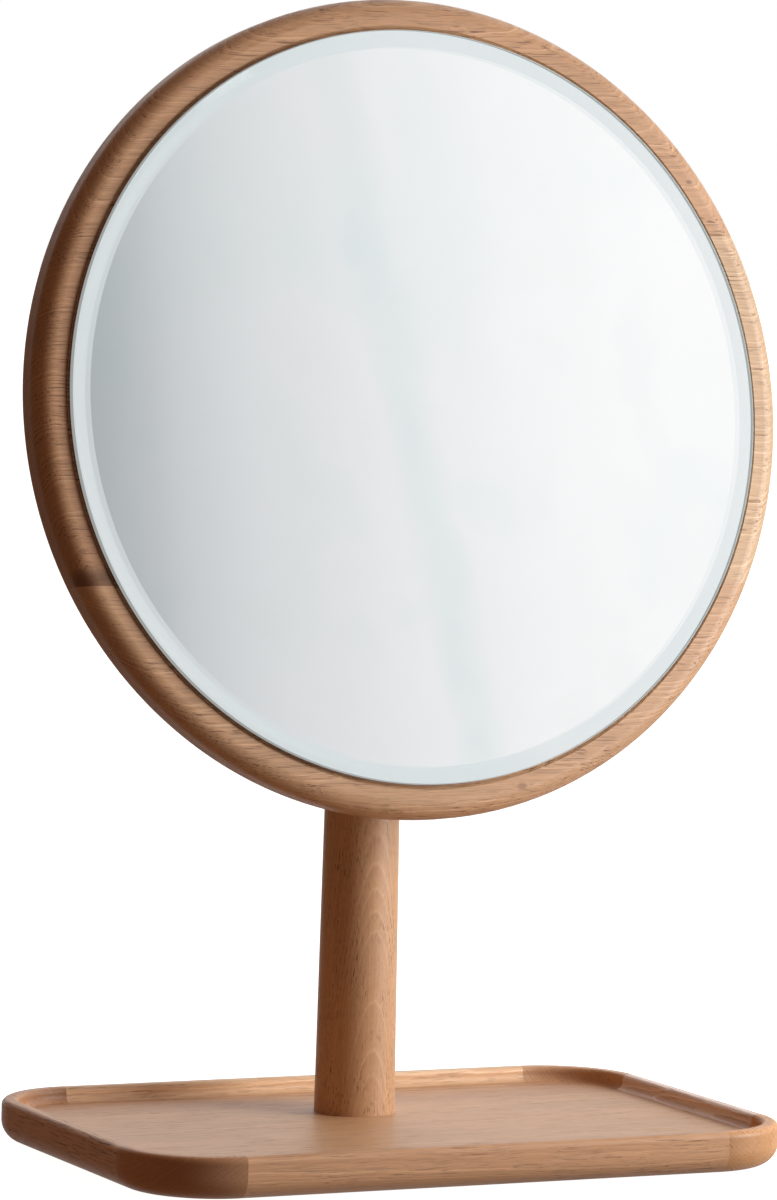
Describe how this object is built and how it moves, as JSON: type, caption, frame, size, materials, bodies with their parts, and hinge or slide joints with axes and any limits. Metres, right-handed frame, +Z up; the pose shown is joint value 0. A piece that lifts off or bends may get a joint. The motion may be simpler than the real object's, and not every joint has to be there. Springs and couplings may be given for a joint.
{
  "type": "tilting table mirror",
  "caption": "Round bevelled mirror in a solid oak ring, tilting on a turned oak post that stands in a shallow oak tray with rounded corners.",
  "frame": {"origin": "on the table, under the middle of the tray's outline", "axes": "+Z up, +X to the right of a person who looks into the mirror, -Y towards that person"},
  "size_m": [0.499, 0.284, 0.703],
  "materials": {
    "oak": "satin clear lacquer",
    "beech": "raw",
    "plywood": "sanded birch plywood",
    "clear_glass": "polished float glass with a bevel",
    "silvering": "silvered, painted on the back",
    "foam_tape": "closed-cell foam tape",
    "felt": "pressed felt",
    "steel": "zinc plated",
    "brass": "turned",
    "fibre": "vulcanised fibre"
  },
  "bodies": {
    "stand": {"tray_front_board": "oak", "tray_rear_board": "oak", "front_rail": "oak", "rear_rail": "oak", "left_rail": "oak", "right_rail": "oak", "corner_front_left": "oak", "corner_front_right": "oak", "corner_rear_left": "oak", "corner_rear_right": "oak", "rail_dowels": "beech", "felt_pads": "felt", "post": "oak", "post_dowels": "beech", "post_insert": "brass", "base_bolt": "steel", "base_washer": "steel", "pivot_bolt": "steel", "pivot_cap_nut": "steel", "friction_washers": "fibre"},
    "mirror_head": {"frame_top_board": "oak", "frame_left_board": "oak", "frame_right_board": "oak", "frame_bottom_board": "oak", "frame_dowels": "beech", "mirror_glass": "clear_glass", "mirror_silvering": "silvering", "mounting_tape": "foam_tape", "back_board": "plywood", "back_board_screws": "steel", "inner_block": "plywood", "pivot_plate": "oak", "plate_screws": "steel", "pivot_tongue": "oak", "pivot_bush": "brass"}
  },
  "joints": [
    {"name": "mirror_tilt", "type": "hinge", "parent": "stand", "child": "mirror_head", "pos_m": [0, 0.05, 0.448], "axis": [-1, 0, 0], "range_deg": [-10, 25]}
  ]
}
